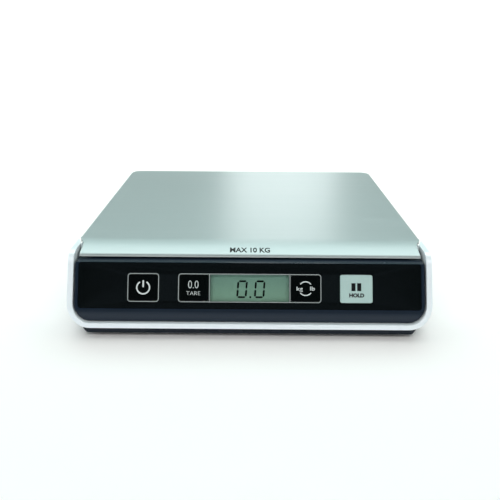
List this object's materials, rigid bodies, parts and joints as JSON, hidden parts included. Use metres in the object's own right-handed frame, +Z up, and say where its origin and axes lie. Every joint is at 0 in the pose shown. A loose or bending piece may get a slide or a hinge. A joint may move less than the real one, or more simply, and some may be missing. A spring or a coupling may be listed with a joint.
{
  "type": "platform shipping scale",
  "caption": "Low square postal scale with a brushed steel platform over a silver tub and a slanted black key panel with a liquid crystal display",
  "frame": {"origin": "on the table, under the middle of the whole scale", "axes": "+Z up, -Y out of the key panel towards the user, +X to the user's right"},
  "size_m": [0.203, 0.2276, 0.044],
  "materials": {
    "brushed_steel": "linear brushed",
    "black_moulding": "moulded",
    "tape": "matt film",
    "zinc_steel": "bright zinc plated",
    "zinc_screw": "zinc plated",
    "cell_aluminium": "milled, clear anodised",
    "silicone_sealant": "white silicone",
    "cell_plate": "milled",
    "base_abs": "moulded, fine grain",
    "foot_rubber": "moulded",
    "silver_abs": "silver lacquer",
    "charcoal_abs": "satin",
    "gloss_black": "high gloss",
    "clear_window": "polished",
    "lcd": "reflective liquid crystal",
    "white_moulding": "moulded",
    "contact_rubber": "soft",
    "circuit_board": "solder mask",
    "board_component": "moulded",
    "connector_nylon": "moulded",
    "battery_sleeve": "printed sleeve",
    "nickel_contact": "nickel plated",
    "cable_jacket": "extruded",
    "lead_jacket": "extruded",
    "socket_metal": "tin plated",
    "silver_key": "silver lacquer",
    "plunger_plastic": "moulded"
  },
  "bodies": {
    "housing": {"load_cell": "cell_aluminium", "gauge_sealant": "silicone_sealant", "cell_base_plate": "cell_plate", "cell_base_screws": "zinc_screw", "base_tray": "base_abs", "overload_stops": "zinc_screw", "rubber_feet": "foot_rubber", "housing_shell": "silver_abs", "housing_screws": "zinc_screw", "aaa_cells": "battery_sleeve", "battery_contacts": "nickel_contact", "battery_springs": "nickel_contact", "fascia_frame": "charcoal_abs", "fascia_panel": "gloss_black", "display_lens": "clear_window", "lcd_glass": "lcd", "lcd_holder": "white_moulding", "zebra_strips": "contact_rubber", "main_board": "circuit_board", "board_screws": "zinc_screw", "board_parts": "board_component", "board_connectors": "connector_nylon", "tact_switches": "board_component", "load_cell_cable": "cable_jacket", "battery_leads": "lead_jacket", "usb_lead": "cable_jacket", "usb_socket": "socket_metal", "usb_board": "circuit_board"},
    "platform": {"platform_cover": "brushed_steel", "platform_carrier": "black_moulding", "cover_tape": "tape", "carrier_bracket": "zinc_steel", "carrier_screws": "zinc_screw", "cell_top_block": "cell_plate", "cell_top_screws": "zinc_screw"},
    "power_key": {"power_key": "gloss_black", "power_plunger": "plunger_plastic"},
    "tare_key": {"tare_key": "gloss_black", "tare_plunger": "plunger_plastic"},
    "units_key": {"units_key": "gloss_black", "units_plunger": "plunger_plastic"},
    "hold_key": {"hold_key": "silver_key", "hold_plunger": "plunger_plastic"},
    "battery_door": {"battery_door": "base_abs"}
  },
  "joints": [
    {"name": "platform_press", "type": "slide", "parent": "housing", "child": "platform", "axis": [0, 0, -1], "range_m": [0, 0.0005], "stiffness_N_per_m": 200000, "springref_m": -0.0001, "deforming": ["load_cell"]},
    {"name": "power_press", "type": "slide", "parent": "housing", "child": "power_key", "axis": [0, 0.9135, -0.4067], "range_m": [0, 0.0005], "stiffness_N_per_m": 3000, "springref_m": -0.0002},
    {"name": "tare_press", "type": "slide", "parent": "housing", "child": "tare_key", "axis": [0, 0.9135, -0.4067], "range_m": [0, 0.0005], "stiffness_N_per_m": 3000, "springref_m": -0.0002},
    {"name": "units_press", "type": "slide", "parent": "housing", "child": "units_key", "axis": [0, 0.9135, -0.4067], "range_m": [0, 0.0005], "stiffness_N_per_m": 3000, "springref_m": -0.0002},
    {"name": "hold_press", "type": "slide", "parent": "housing", "child": "hold_key", "axis": [0, 0.9135, -0.4067], "range_m": [0, 0.0005], "stiffness_N_per_m": 3000, "springref_m": -0.0002},
    {"name": "battery_door_hinge", "type": "hinge", "parent": "housing", "child": "battery_door", "pos_m": [-0.057, 0.0495, 0.003], "axis": [1, 0, 0], "range_deg": [0, 90]}
  ]
}
